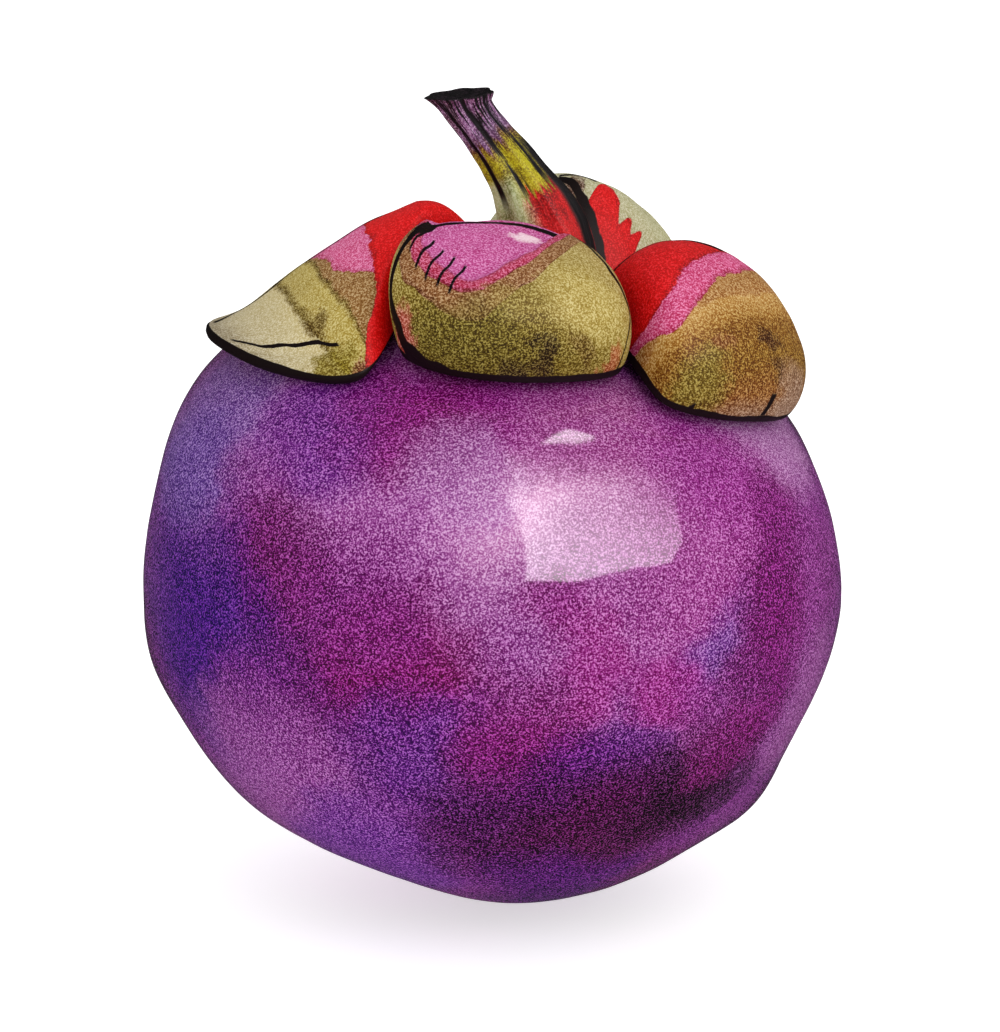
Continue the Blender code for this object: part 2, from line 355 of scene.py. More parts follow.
def rindMaterial():
    material, shader, start = startMaterial(
        "waxyPurpleRind", Specular_IOR_Level=rindPaint["gloss"], Coat_Weight=rindPaint["waxShare"],
        Coat_Roughness=rindPaint["waxRoughness"], Coat_IOR=rindPaint["waxIor"])
    at = start.add("ShaderNodeTexCoord", out="Object")
    outward = at.vector("NORMALIZE", at.vector("SUBTRACT", at, tuple(centre)))
    warped = wander(outward)
    colour = outward.grain(1.7, 3).banded([(0.35, tint(*rindPaint["groundLow"])),
                                           (0.65, tint(*rindPaint["groundHigh"]))])
    for towards, halfWidth, softness, paint, strength in patchDirections():
        facing = warped.vector("DOT_PRODUCT", warped, tuple(towards), out="Value")
        outer = math.cos(math.radians(halfWidth * (1 + 0.5 * softness)))
        inner = math.cos(math.radians(halfWidth * (1 - softness)))
        colour = colour.towards(tint(*paint), facing.fade(outer, inner) * strength)
    nearStem = warped.vector("DOT_PRODUCT", warped, tuple(stemAxis), out="Value")
    stemShare = nearStem.fade(math.cos(rindPaint["stemStainOuter"]),
                              math.cos(rindPaint["stemStainInner"]))
    colour = colour.towards(tint(*rindPaint["stemStain"]), stemShare)
    settled = at.grain(rindPaint["settledScale"], 3, 0.6)  # where the pigment lies more thickly
    clumps = at.grain(rindPaint["clumpScale"], 3, 0.65)
    turned = outward.vector("DOT_PRODUCT", outward, tuple(lookBack), out="Value")
    edge = turned.fade(0.19, 0.07) * turned.fade(-0.16, -0.02)  # painted shade: a darker ring round the front, where the rind turns away from the look direction
    colour = colour.stained(tint(*rindPaint["rimShadeColour"]), edge * rindPaint["rimShadeShare"])
    deep = rindPaint["deep"] + settled * 0.5 + clumps * 0.8
    colour = colour.grained(at, rindPaint["pale"], deep)
    roughness = rindPaint["roughness"] + settled * 0.2
    finishMaterial(shader, colour, roughness, clumps + settled * 2.5, rindPaint["relief"])
    return material


# azimuth of each gap between neighbours, and how much it turns with the fall, in degrees
seams = dict(left_front=(-169, 0.9), front_right=(-62.5, 0), right_back=(24, 0), back_left=(134, 0))
seamHalfGap = 0.9
seamSharpness = 8
flareFrom = 0.5
sepalThickness = 2.0 * mm
marginShare = 0.5
# Angles are in degrees. start and reach are the foot's and the tip's fall from the stem
# axis. broad widens the tip's end, bow bends the midline sideways, skew slides one side
# further out, and square above 2 fills the outline's corners. crest is where the arch is
# highest, puff its height, round and full its fall to the margin, and tilt lifts one side.
# slim thins the tip, flare lifts it, and rest is the room under the margin.
sepals = {
    "sepal_front": dict(
        azimuth=-105, start=11, reach=46, halfWidth=24, broad=-0.08, bow=0, skew=-0.26,
        square=2.0, crest=-0.35, puff=8.8 * mm, tilt=-0.22, round=3.4, full=0.55, slim=0,
        flare=0, rest=0.75 * mm,
        before="left_front", after="front_right"),
    "sepal_right": dict(
        azimuth=-30.5, start=11, reach=49.5, halfWidth=21, broad=0.26, bow=-1.5, skew=0.19,
        square=2.3, crest=-0.28, puff=9.0 * mm, tilt=0.09, round=2.8, full=0.67, slim=0.25,
        flare=0, rest=0.75 * mm,
        before="front_right", after="right_back"),
    "sepal_left": dict(
        azimuth=-168, start=11.5, reach=60.5, halfWidth=24, broad=0.45, bow=7, skew=-0.08,
        square=2.0, crest=-0.5, puff=8.0 * mm, tilt=0, round=2.0, full=1.0, slim=0.85,
        flare=2.4 * mm, rest=1.2 * mm,
        before="back_left", after="left_front"),
    "sepal_back": dict(
        azimuth=78, start=11, reach=50, halfWidth=20, broad=0.2, bow=0, skew=0,
        square=2.4, crest=-0.45, puff=8.9 * mm, tilt=0.1, round=2.4, full=0.8, slim=0,
        flare=0.4 * mm, rest=1.2 * mm,
        before="right_back", after="back_left"),
}
sepalRings = 40
sepalSegments = 112


def insideSeams(spec, offset, fall):  # neighbours never reach over each other
    azimuth, slope = seams[spec["after" if offset > 0 else "before"]]
    room = (azimuth + slope * math.degrees(fall) - spec["azimuth"] + 180) % 360 - 180
    room = math.radians(abs(room) - seamHalfGap)
    crowding = (abs(offset) / room) ** seamSharpness
    return offset / (1 + crowding) ** (1 / seamSharpness)


def sepalDirection(spec, along, across):
    towardsX = Vector((stemAxis.z, 0, -stemAxis.x))
    towardsY = Vector((0, 1, 0))
    azimuth = math.radians(spec["azimuth"])
    outward = towardsX * math.cos(azimuth) + towardsY * math.sin(azimuth)
    sideways = stemAxis.cross(outward)
    middle = (spec["start"] + spec["reach"]) / 2
    halfLength = (spec["reach"] - spec["start"]) / 2
    onMidline = math.radians(middle + halfLength * along)
    halfWidth = spec["halfWidth"] * (1 + spec["broad"] * along)
    turn = math.radians(halfWidth * across + spec["bow"] * (1 - along * along))
    fall = math.acos(math.cos(onMidline) * math.cos(turn))
    offset = math.atan2(math.sin(turn), math.sin(onMidline) * math.cos(turn))
    offset = insideSeams(spec, offset, fall)
    sideAxis = outward * math.cos(offset) + sideways * math.sin(offset)
    return (stemAxis * math.cos(fall) + sideAxis * math.sin(fall)).normalized()


def onSepal(spec, flat):  # where a point of the disc lies: along, across, ring
    ring = flat.length
    if ring > 0:
        power = spec["square"]
        flat = flat * ring / (abs(flat.x) ** power + abs(flat.y) ** power) ** (1 / power)
    return min(1, spec["crest"] * (1 - ring) + flat.x), flat.y, ring


def sepalPoint(name, along, across, ring):
    spec = sepals[name]
    arch = max(0, 1 - ring ** spec["round"]) ** spec["full"]
    beyondCrest = max(0, (along - spec["crest"]) / (1 - spec["crest"]))
    lift = spec["puff"] * arch * (1 - spec["slim"] * beyondCrest) * (1 + spec["tilt"] * across)
    lift += spec["rest"]
    tip = max(0, (along - flareFrom) / (1 - flareFrom))
    lift += spec["flare"] * tip ** 3 * (1 - across * across)
    lift += sepalRelief(name, along, across, ring)
    skewed = along + spec["skew"] * across * (1 + along) / 2
    direction = sepalDirection(spec, skewed, across)
    return centre + direction * (rindRadius(direction) + lift)


def smoothStep(value, start, end):
    share = max(0, min(1, (value - start) / (end - start)))
    return share * share * (3 - 2 * share)


fold = dict(at=0.3, slope=0.62, end=0.95, start=0.3, depth=0.7 * mm, width=0.07)
hollow = dict(
    depth=1.1 * mm,
    inner=((-0.72, -0.9), (-0.62, -0.45), (-0.55, 0.04), (-0.45, 0.24), (-0.3, 0.38),
           (-0.17, 0.45), (-0.08, 0.34), (0.0, 0.12), (0.08, -0.08), (0.14, -0.6), (0.2, -1)),
    middle=((-0.78, -0.7), (-0.66, -0.3), (-0.58, 0.18), (-0.46, 0.40), (-0.3, 0.52),
            (-0.14, 0.57), (-0.03, 0.46), (0.05, 0.26), (0.13, 0.02), (0.19, -0.5), (0.24, -1)),
    outer=((-0.84, -0.5), (-0.72, 0.0), (-0.6, 0.40), (-0.46, 0.56), (-0.3, 0.69),
           (-0.08, 0.76), (0.02, 0.68), (0.11, 0.46), (0.2, 0.2), (0.26, -0.3), (0.3, -1)),
)


def between(knots, value):  # the height of a row of knots at this value
    for (start, low), (end, high) in zip(knots, knots[1:]):
        if value <= end:
            return low + (high - low) * smoothStep(value, start, end)
    return knots[-1][1]


def sepalRelief(name, along, across, ring):
    place = Vector((along * 1.6, across * 1.6, len(name) + 7.3 * list(sepals).index(name)))
    inside = 1 - ring ** 4
    relief = 0.35 * mm * noise.fractal(place, 1.0, 2.0, 3) * inside
    if name == "sepal_front":
        edge = between(hollow["inner"], across)
        step = smoothStep(edge - along, -0.12, 0.14)
        relief -= hollow["depth"] * step * smoothStep(along, -0.85, -0.6) * inside
    if name == "sepal_left":
        off = across - fold["at"] - fold["slope"] * (fold["end"] - along)
        strength = smoothStep(along, fold["start"], fold["start"] + 0.2)
        relief -= fold["depth"] * math.exp(-((off / fold["width"]) ** 2)) * strength * inside
    return relief


def makeSepal(name, material):
    spec = sepals[name]
    mesh = unitDisc(sepalRings, sepalSegments)
    fromEdge = mesh.verts.layers.float.new("fromEdge")  # millimetres from the margin
    side = mesh.verts.layers.float.new("side")  # 1 outside, 0 underneath
    flatMap = mesh.loops.layers.uv.new("flat")
    places = {}
    for vert in mesh.verts:
        spread = vert.co.length
        if spread > 0:
            vert.co *= (1 - (1 - min(1, spread)) ** (1 / spec["full"])) / spread
        places[vert] = onSepal(spec, vert.co)
        edgePoint = places[vert]
        if spread > 0:
            edgePoint = onSepal(spec, vert.co.normalized())
        vert[side] = 1
        vert[fromEdge] = 1000 * (sepalPoint(name, *places[vert])
                                 - sepalPoint(name, *edgePoint)).length
        if spread == 0:
            vert[fromEdge] = 10
    for face in mesh.faces:
        for loop in face.loops:
            loop[flatMap].uv = places[loop.vert][:2]
    for vert in mesh.verts:
        vert.co = sepalPoint(name, *places[vert])
    mesh.normal_update()
    margin = [edge for edge in mesh.edges if edge.is_boundary]
    copied = bmesh.ops.duplicate(mesh, geom=list(mesh.verts) + list(mesh.edges) + list(mesh.faces))
    for vert in places:
        twin = copied["vert_map"][vert]
        ring = places[vert][2]
        twin.co = vert.co - vert.normal * sepalThickness * (1 - marginShare * ring ** 3)
        twin[side] = 0
    underFaces = [item for item in copied["geom"] if isinstance(item, bmesh.types.BMFace)]
    bmesh.ops.reverse_faces(mesh, faces=underFaces)
    underMargin = [edge for edge in mesh.edges if edge.is_boundary and edge not in margin]
    bmesh.ops.bridge_loops(mesh, edges=margin + underMargin)
    return placePiece(mesh, "calyx" + name.replace("sepal_", "").title(), material,
                      name, smoothing=1)


bands = {  # the colours from the foot, at -1, to the tip, at 1
    "sepal_front": (
        (-1.0, (160, 130, 80)), (-0.3, (177, 158, 97)), (0.3, (167, 148, 82)),
        (0.55, (144, 124, 54)), (0.8, (122, 103, 34)), (1.0, (102, 84, 26))),
    "sepal_right": (
        (-1.0, (172, 136, 84)), (0.10, (174, 130, 76)), (0.13, (190, 152, 90)),
        (0.28, (168, 126, 58)), (0.33, (148, 104, 38)), (0.62, (136, 96, 26)),
        (0.84, (142, 92, 38)), (1.0, (152, 120, 96))),
    "sepal_left": (
        (-1.0, (160, 120, 80)), (0.21, (164, 128, 80)), (0.23, (128, 104, 44)),
        (0.27, (188, 170, 100)), (0.44, (182, 164, 98)), (0.50, (130, 110, 48)),
        (0.54, (202, 188, 144)), (0.8, (196, 184, 150)), (1.0, (156, 144, 122))),
    "sepal_back": (
        (-1.0, (190, 186, 156)), (-0.1, (182, 178, 140)), (0.3, (166, 150, 92)),
        (0.8, (132, 110, 50)), (1.0, (116, 92, 40))),
}
washes = {  # laid on the foot's side of a row of knots: across, along; colour; edge colour
    "sepal_front": (
        (hollow["outer"], (156, 114, 74), (104, 50, 36)),
        (hollow["middle"], (190, 78, 112), (120, 30, 44)),
        (hollow["inner"], (202, 108, 164), (150, 10, 70)),
    ),
    "sepal_right": (
        (((-1.0, -0.10), (-0.88, 0.02), (-0.73, 0.16), (-0.5, 0.12), (-0.3, 0.02), (-0.1, -0.07),
          (0.2, -0.10), (0.6, -0.16), (1.0, -0.3)), (206, 96, 140), (150, 16, 50)),
        (((-1.0, -0.22), (-0.86, -0.14), (-0.66, -0.12), (-0.4, -0.20), (-0.2, -0.27), (0.0, -0.30),
          (0.3, -0.28), (0.6, -0.34), (1.0, -0.5)), (208, 6, 10), (140, 2, 8)),
    ),
    "sepal_left": (
        (((-1.0, 0.2), (-0.6, 0.22), (-0.2, 0.18), (0.1, 0.13), (0.3, 0.04), (0.45, -0.08),
          (0.6, -0.2), (1.0, -0.4)), (212, 112, 154), (168, 50, 90)),
        (((-1.0, -0.2), (-0.3, -0.16), (0.1, -0.12), (0.4, -0.06), (0.6, 0.0), (0.72, 0.14),
          (0.85, 0.30), (1.0, 0.38)), (216, 6, 8), (150, 2, 8)),
    ),
    "sepal_back": (
        (((-1.0, -0.80), (-0.66, -0.76), (-0.60, -0.66), (-0.56, -0.60), (-0.51, -0.70),
          (-0.46, -0.64), (-0.42, -0.66), (-0.38, -0.74), (-0.30, -0.66), (-0.22, -0.60),
          (-0.13, -0.55), (-0.09, -0.54), (-0.06, -0.66), (-0.03, -0.84), (0.3, -0.9),
          (1.0, -0.9)), (214, 8, 10), (160, 4, 8)),
    ),
}
# how far the edges of the washes wander
ragged = {"sepal_front": 0.03, "sepal_right": 0.08, "sepal_left": 0.09, "sepal_back": 0.05}
inkLines = {  # dark lines: which way they run, half width, and their knots
    "sepal_front": (
        ("across", 0.042, ((-0.66, -0.08), (-0.58, -0.28), (-0.42, -0.42), (-0.28, -0.58),
                          (0.0, -0.68), (0.2, -0.66), (0.36, -0.54), (0.5, -0.38), (0.67, -0.23),
                          (0.82, 0.0), (0.95, 0.5))),
        ("along", 0.036, ((-0.32, -0.57), (-0.08, -0.60), (0.13, -0.65), (0.3, -0.69),
                          (0.5, -0.71), (0.66, -0.64), (0.80, -0.56), (0.92, -0.38),
                          (0.99, -0.2)))),
    "sepal_right": (
        ("along", 0.045, ((-0.9, -0.5), (-0.74, -0.30), (-0.66, -0.10), (-0.58, 0.10),
                          (-0.42, 0.20), (-0.30, 0.26))),
        ("along", 0.03, ((0.78, -0.62), (0.97, -0.66))),
        ("along", 0.03, ((0.84, 0.02), (0.985, -0.02)))),
    "sepal_left": (
        ("along", 0.03, ((-0.3, -0.24), (-0.1, -0.28), (0.06, -0.31), (0.16, -0.37),
                         (0.3, -0.45), (0.5, -0.41), (0.8, -0.40), (0.96, -0.14))),
        ("along", 0.02, ((0.42, 0.62), (0.52, 0.50), (0.70, 0.37), (0.84, 0.28), (0.95, 0.16)))),
    "sepal_back": (
        ("across", 0.045, ((-0.5, -0.93), (-0.2, -0.87), (-0.05, -0.81), (0.06, -0.75),
                           (0.16, -0.67), (0.3, -0.6))),
        ("across", 0.035, ((-0.04, -0.55), (0.1, -0.54), (0.3, -0.54)))),
}
blotches = {  # along, across, half length, half width, colour, strength
    "sepal_front": (
        (0.80, 0.40, 0.14, 0.10, (62, 40, 14), 0.8), (0.94, 0.26, 0.08, 0.12, (56, 34, 18), 0.8),
        (0.82, -0.10, 0.22, 0.45, (112, 96, 30), 0.7),
        (0.25, 0.5, 0.35, 0.3, (188, 170, 104), 0.7),
        (0.80, -0.60, 0.22, 0.13, (188, 96, 92), 0.8), (0.5, 0.86, 0.2, 0.08, (180, 84, 66), 0.6),
        # painted highlight: a near-white spot on the hollow's upper corner
        (-0.42, -0.02, 0.10, 0.10, (240, 220, 224), 0.85),
        (0.62, 0.62, 0.12, 0.12, (112, 84, 34), 0.6),
        (0.55, 0.10, 0.16, 0.20, (150, 130, 62), 0.6)),
    "sepal_right": (
        (0.50, 0.02, 0.13, 0.11, (88, 50, 20), 0.85), (0.71, 0.05, 0.09, 0.08, (96, 60, 26), 0.75),
        (0.45, -0.40, 0.10, 0.10, (140, 86, 52), 0.5),
        (0.68, -0.60, 0.3, 0.25, (130, 112, 40), 0.8),
        (0.85, 0.26, 0.25, 0.22, (152, 124, 104), 0.7)),
    "sepal_left": (
        (0.62, 0.72, 0.35, 0.14, (136, 118, 26), 0.9), (0.40, 0.93, 0.16, 0.10, (112, 16, 10), 0.8),
        (0.45, 0.40, 0.10, 0.10, (112, 88, 30), 0.7)),
    "sepal_back": ((-0.72, 0.16, 0.2, 0.12, (90, 30, 30), 0.8),),
}


def bandStops(stops):  # a ramp runs from 0 to 1, the sepal from -1 to 1
    return [((place + 1) / 2, tint(*paint)) for place, paint in stops]


# painted shade: dark hatching drawn on the front sepal's hollow wall
hollowShadeHatch = dict(spacing=0.085, lean=3.0, leftOf=-0.20, ink=(20, 4, 8))
# how wide the dark line along the margin is, in millimetres
marginLine = {"sepal_front": 1.1, "sepal_right": 0.9, "sepal_left": 0.35, "sepal_back": 0.4}
sepalPaint = dict(
    gloss=0.1, skinShare=0.06, skinRoughness=0.25,
    undersideColour=(150, 132, 84), ink=(22, 10, 10),
    settledScale=260, clumpScale=900, pale=0.62, deep=1.35,
    roughness=0.5, relief=0.00005,
)


def paintHollowShade(colour, along, across):  # painted shade: short dark hatch lines down the hollow's left wall
    turn = across * (math.tau / hollowShadeHatch["spacing"]) + along * hollowShadeHatch["lean"]
    stroke = turn.maths("SINE", turn).fade(0.70, 0.92)
    nearMiddle = (across.curve(hollow["middle"]) + 0.06 - along).fade(0.0, 0.04)
    inWall = along.fade(-0.5, -0.3) * nearMiddle
    below = (along - across.curve(hollow["inner"]) + 0.22).fade(0.0, 0.04)
    leftOnly = across.fade(hollowShadeHatch["leftOf"], hollowShadeHatch["leftOf"] - 0.04)
    return colour.towards(tint(*hollowShadeHatch["ink"]), stroke * inWall * below * leftOnly)


def layWashes(name, colour, across, moved, torn):  # each has a darker line where it dried
    for knots, paint, edgePaint in washes[name]:
        inside = across.curve(knots) - moved
        colour = colour.towards(tint(*paint), inside.fade(-0.006, 0.006))
        edge = inside.fade(-0.012, 0.0) * inside.fade(0.05, 0.006)
        colour = colour.towards(tint(*edgePaint), edge * (0.45 + torn))
    return colour


def layBlotches(name, colour, along, across, broad, torn):
    for place, beside, halfLength, halfWidth, paint, strength in blotches[name]:
        fromAlong = (along - place + broad * 0.35) / halfLength
        fromAcross = (across - beside + torn * 0.35) / halfWidth
        off = fromAlong * fromAlong + fromAcross * fromAcross
        colour = colour.towards(tint(*paint), off.fade(1.3, 0.1) * strength)
    return colour


def drawInk(name, inked, along, across, settled, torn):  # the margin's line and the crest's
    for runs, halfWidth, knots in inkLines[name]:
        places = (across, along) if runs == "across" else (along, across)
        off = places[1] - places[0].curve(knots) + torn * 0.03
        width = (settled * 0.9 + 0.5) * halfWidth
        line = (width - off.maths("ABSOLUTE", off)).fade(0, halfWidth * 0.2)
        first, last = knots[0][0], knots[-1][0]
        line = line * places[0].fade(first, first + 0.02)
        inked = inked.most(line * places[0].fade(last, last - 0.02))
    return inked


def sepalMaterial(name):
    material, shader, start = startMaterial(
        name.replace("sepal_", "sepalSkin"), Specular_IOR_Level=sepalPaint["gloss"],
        Coat_Weight=sepalPaint["skinShare"], Coat_Roughness=sepalPaint["skinRoughness"])
    at = start.add("ShaderNodeTexCoord", out="Object")
    flat = start.add("ShaderNodeUVMap", {"uv_map": "flat"})
    along = flat.add("ShaderNodeSeparateXYZ", None, {0: flat}, "X")
    across = flat.add("ShaderNodeSeparateXYZ", None, {0: flat}, "Y")
    fromEdge = start.add("ShaderNodeAttribute", {"attribute_name": "fromEdge"}, out="Fac")
    side = start.add("ShaderNodeAttribute", {"attribute_name": "side"}, out="Fac")
    broad = flat.grain(2.6, 3, 0.6) - 0.5
    torn = flat.grain(9, 3, 0.7) - 0.5
    moved = along + (broad * ragged[name] * 1.6 + torn * ragged[name])
    colour = (moved * 0.5 + 0.5).banded(bandStops(bands[name]))
    colour = layWashes(name, colour, across, moved, torn)
    if name == "sepal_front":
        colour = paintHollowShade(colour, along, across)
    colour = layBlotches(name, colour, along, across, broad, torn)
    colour = colour.towards(tint(*sepalPaint["undersideColour"]), side.fade(0.6, 0.3))
    settled = at.grain(sepalPaint["settledScale"], 3, 0.6)
    clumps = at.grain(sepalPaint["clumpScale"], 3, 0.65)
    deep = sepalPaint["deep"] + settled * 0.5 + clumps * 0.8
    colour = colour.grained(at, sepalPaint["pale"], deep)
    lineWidth = marginLine[name] * (0.6 + settled * 0.8)
    inked = fromEdge.fade(lineWidth + 0.08, lineWidth)
    inked = drawInk(name, inked, along, across, settled, torn)
    onMargin = side.fade(0.98, 0.9) * side.fade(0.02, 0.1)
    colour = colour.towards(tint(*sepalPaint["ink"]), inked.most(onMargin))
    roughness = sepalPaint["roughness"] + settled * 0.2
    finishMaterial(shader, colour, roughness, clumps + settled * 3.0, sepalPaint["relief"])
    return material


stalk = dict(  # line holds stations from the foot to the cut end: (x, z) and radius, in mm
    line=(((4.50, 22.45), 3.8), ((4.75, 23.70), 3.9), ((4.5, 26.0), 3.8), ((4.0, 28.0), 3.7),
          ((3.2, 30.2), 3.2), ((2.0, 32.5), 2.5), ((0.9, 34.2), 2.2), ((-0.2, 35.7), 2.0),
          ((-1.3, 37.2), 1.9), ((-2.25, 38.6), 2.05), ((-2.75, 39.8), 2.5)),
    ridges=7, ridgeDepth=0.07, sides=70, steps=70, lip=0.22, slant=0.28, sink=0.6 * mm,
)


def stalkStation(share):  # a smooth curve through the stations: x, z and radius, in metres
    stations = [Vector((x, z, radius)) * mm for (x, z), radius in stalk["line"]]
    place = share * (len(stations) - 1)
    index = min(int(place), len(stations) - 2)
    part = place - index
    a, b, c, d = (stations[max(0, min(len(stations) - 1, index + step))] for step in (-1, 0, 1, 2))
    return 0.5 * (2 * b + (c - a) * part + (2 * a - 5 * b + 4 * c - d) * part ** 2
                  + (3 * b - a - 3 * c + d) * part ** 3)


def makeStalk():
    mesh = bmesh.new()
    bmesh.ops.create_cone(mesh, cap_ends=True, segments=stalk["sides"], radius1=1, radius2=1,
                          depth=1)
    uprights = [edge for edge in mesh.edges if abs(edge.verts[0].co.z - edge.verts[1].co.z) > 0.5]
    bmesh.ops.subdivide_edges(mesh, edges=uprights, cuts=stalk["steps"] - 1, use_grid_fill=True)
    ends = [face for face in mesh.faces if abs(face.normal.z) > 0.5]
    for inset in (0.1, 0.2, 0.3):
        bmesh.ops.inset_region(mesh, faces=ends, thickness=inset, use_even_offset=True)
    climbLayer = mesh.verts.layers.float.new("climb")
    grooveLayer = mesh.verts.layers.float.new("groove")
    wrapLayer = mesh.verts.layers.float_vector.new("wrap")
    for vert in mesh.verts:
        share = max(0, min(1, vert.co.z + 0.5))
        angle = math.atan2(vert.co.y, vert.co.x)
        spread = min(1, math.hypot(vert.co.x, vert.co.y))
        here = stalkStation(share)
        ahead, behind = stalkStation(min(1, share + 0.01)), stalkStation(max(0, share - 0.01))
        rise = Vector((ahead.x - behind.x, 0, ahead.y - behind.y)).normalized()
        outward = Vector((rise.z, 0, -rise.x))
        groove = math.cos(stalk["ridges"] * angle + 1.5 * share)
        around = Vector((math.cos(angle), math.sin(angle), share * 4)) * 1.7
        rough = noise.fractal(around, 1.0, 2.0, 3)
        radius = here.z * (1 + stalk["ridgeDepth"] * groove + 0.04 * rough)
        lip = smoothStep(share, 0.9, 1) * max(0, -math.cos(angle)) ** 4
        radius *= 1 + stalk["lip"] * lip
        offset = (outward * math.cos(angle) + Vector((0, 1, 0)) * math.sin(angle)) * radius * spread
        vert.co = centre + Vector((here.x, 0, here.y)) + offset
        if share > 0.99:
            vert.co -= rise * stalk["sink"] * (1 - spread ** 2)
        slant = smoothStep(share, 0.8, 1) * stalk["slant"]
        vert.co -= rise * slant * math.cos(angle) * radius * spread
        vert[climbLayer] = share
        vert[grooveLayer] = groove if spread > 0.98 else -1
        vert[wrapLayer] = (math.cos(angle) * spread, math.sin(angle) * spread, share * 0.5)
    bmesh.ops.recalc_face_normals(mesh, faces=mesh.faces)
    return placePiece(mesh, "fruitStalk", stalkMaterial(), "stalk", smoothing=1)


stalkPaint = dict(
    gloss=0.2, skinShare=0.05,
    stops=((0.00, (208, 6, 8)), (0.44, (200, 6, 8)), (0.455, (170, 150, 20)),
           (0.54, (176, 166, 10)), (0.64, (160, 146, 10)), (0.70, (120, 84, 24)),
           (0.74, (130, 88, 128)), (0.84, (158, 116, 156)), (1.00, (110, 60, 96))),
    paleSide=(176, 186, 136), paleTowards=(-0.85, -0.5, 0.0),
    dull=(176, 160, 120), dullShare=0.6, ink=(14, 8, 12), cutShare=0.92,
    streakScale=4.5, threadScale=13, mottleScale=500, pale=0.6, deep=1.3,
    roughness=0.55, relief=0.00008,
)


def stalkMaterial():
    material, shader, start = startMaterial(
        "ridgedGreenStalk", Specular_IOR_Level=stalkPaint["gloss"],
        Coat_Weight=stalkPaint["skinShare"])
    at = start.add("ShaderNodeTexCoord", out="Object")
    climb = start.add("ShaderNodeAttribute", {"attribute_name": "climb"}, out="Fac")
    groove = start.add("ShaderNodeAttribute", {"attribute_name": "groove"}, out="Fac")
    wrap = start.add("ShaderNodeAttribute", {"attribute_name": "wrap"}, out="Vector")
    streak = wrap.grain(stalkPaint["streakScale"], 3, 0.65)
    threads = wrap.grain(stalkPaint["threadScale"], 2, 0.6)
    mottle = at.grain(stalkPaint["mottleScale"], 3, 0.6)
    height = climb + (streak - 0.5) * 0.28 + (threads - 0.5) * 0.12
    colour = height.banded([(place, tint(*paint)) for place, paint in stalkPaint["stops"]])
    paleSide = wrap.vector("DOT_PRODUCT", wrap, stalkPaint["paleTowards"], out="Value")
    low = climb.fade(0.58, 0.52) * climb.fade(0.30, 0.36)
    colour = colour.towards(tint(*stalkPaint["paleSide"]), paleSide.fade(0.35, 0.75) * low)
    rightSide = wrap.add("ShaderNodeSeparateXYZ", None, {0: wrap}, "X")
    wedge = rightSide.fade(0.86, 0.94) * climb.fade(0.70, 0.60) * streak.fade(0.30, 0.42)
    black = groove.fade(-0.25, -0.75) * streak.fade(0.38, 0.50) * climb.fade(0.40, 0.50)
    black = black.most(wedge)
    topped = threads.fade(0.48, 0.56) * climb.fade(0.70, 0.82)
    cut = climb.fade(0.975, 0.99) * stalkPaint["cutShare"]
    dullShare = mottle.fade(0.45, 0.65) * stalkPaint["dullShare"]
    colour = colour.stained(tint(*stalkPaint["dull"]), dullShare)
    colour = colour.grained(at, stalkPaint["pale"], stalkPaint["deep"] + mottle)
    colour = colour.towards(tint(*stalkPaint["ink"]), black.most(topped).most(cut))
    roughness = stalkPaint["roughness"] + mottle * 0.25
    relief = threads * 2.0 + mottle + groove * 0.5
    finishMaterial(shader, colour, roughness, relief, stalkPaint["relief"])
    return material


rosette = dict(radius=3.8 * mm, notch=1.8 * mm, lobes=6, fullness=0.5, thickness=0.8 * mm,
               rings=14, segments=120)


rosettePaint = dict(
    gloss=0.2, stops=((0.3, (40, 20, 18)), (0.5, (84, 48, 34)), (0.7, (120, 78, 52))),
    fibreScale=900, blotScale=260, roughness=0.6, relief=0.0001,
)


def rosetteReach(angle):
    swell = abs(math.sin(rosette["lobes"] * angle / 2)) ** rosette["fullness"]
    return rosette["notch"] + (rosette["radius"] - rosette["notch"]) * swell, swell


def makeRosette():
    mesh = unitDisc(rosette["rings"], rosette["segments"])
    half = rosette["thickness"] / 2
    swells = {}
    for vert in mesh.verts:
        ring = min(1, vert.co.length)
        reach, swell = rosetteReach(math.atan2(vert.co.y, vert.co.x))
        if ring > 0:
            vert.co = vert.co.normalized() * reach * ring * 0.985
        swells[vert] = half * math.sqrt(max(0, 1 - ring ** 6)) * (0.75 + 0.25 * swell)
        vert.co.z = half + swells[vert]
    copied = bmesh.ops.duplicate(mesh, geom=list(mesh.verts) + list(mesh.edges) + list(mesh.faces))
    for vert, swell in swells.items():
        copied["vert_map"][vert].co.z = half - swell
    bmesh.ops.reverse_faces(mesh, faces=[item for item in copied["geom"]
                                         if isinstance(item, bmesh.types.BMFace)])
    bmesh.ops.remove_doubles(mesh, verts=mesh.verts, dist=0.00001)
    bmesh.ops.recalc_face_normals(mesh, faces=mesh.faces)
    return placePiece(mesh, "stigmaLobes", rosetteMaterial(), "stigma_rosette")


def rosetteMaterial():
    material, shader, start = startMaterial(
        "dryBrownStigma", Specular_IOR_Level=rosettePaint["gloss"])
    at = start.add("ShaderNodeTexCoord", out="Object")
    fibres = at.grain(rosettePaint["fibreScale"], 4, 0.65)
    blots = at.grain(rosettePaint["blotScale"], 2)
    stops = [(place, tint(*paint)) for place, paint in rosettePaint["stops"]]
    colour = (fibres * 0.6 + blots * 0.4).banded(stops)
    roughness = rosettePaint["roughness"] + fibres * 0.3
    finishMaterial(shader, colour, roughness, fibres, rosettePaint["relief"])
    return material


makeRind()
for sepalName in sepals:
    makeSepal(sepalName, sepalMaterial(sepalName))
makeStalk()
makeRosette()


